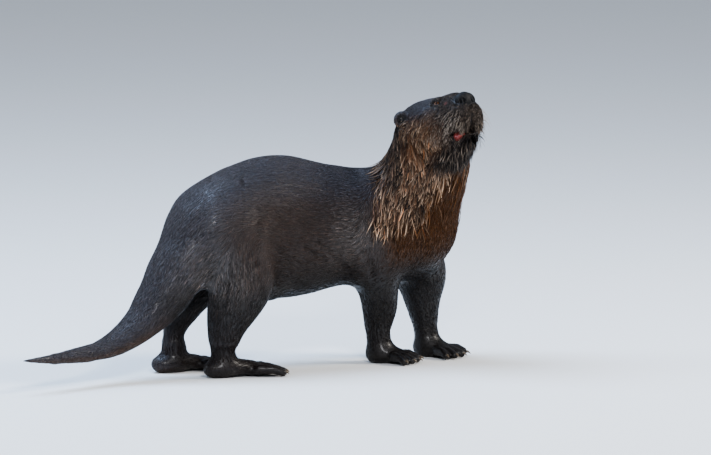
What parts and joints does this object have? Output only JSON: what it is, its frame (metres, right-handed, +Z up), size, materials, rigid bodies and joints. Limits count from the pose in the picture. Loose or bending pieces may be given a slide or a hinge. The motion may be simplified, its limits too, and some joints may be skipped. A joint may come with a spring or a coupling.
{
  "type": "river otter figure",
  "caption": "Life-size still figure of a wet North American river otter standing on all fours, back arched, head raised and turned to its right, tail trailing.",
  "frame": {"origin": "middle of the whole model's bounding box, on the floor under the feet", "axes": "+X is forward along the trunk from tail to chest, +Y is the animal's left, +Z is up"},
  "size_m": [0.702, 0.2682, 0.3592],
  "materials": {
    "coat": "wet dark brown short coat",
    "pale_coat": "wet brown throat and neck coat",
    "feet": "dark short coat and bare webs",
    "nose": "wet leathery black",
    "eyes": "glossy dark brown",
    "tongue": "wet pink"
  },
  "bodies": {
    "root": {"ear_left": "coat", "ear_right": "coat", "eye_left": "eyes", "eye_right": "eyes", "forefoot_left": "feet", "forefoot_right": "feet", "foreleg_left": "coat", "foreleg_right": "coat", "head": "coat", "hindfoot_left": "feet", "hindfoot_right": "feet", "hindleg_left": "coat", "hindleg_right": "coat", "jaw": "pale_coat", "neck": "pale_coat", "nose": "nose", "tail_middle": "coat", "tail_root": "coat", "tail_tip": "coat", "tongue": "tongue", "trunk": "coat"}
  },
  "joints": []
}
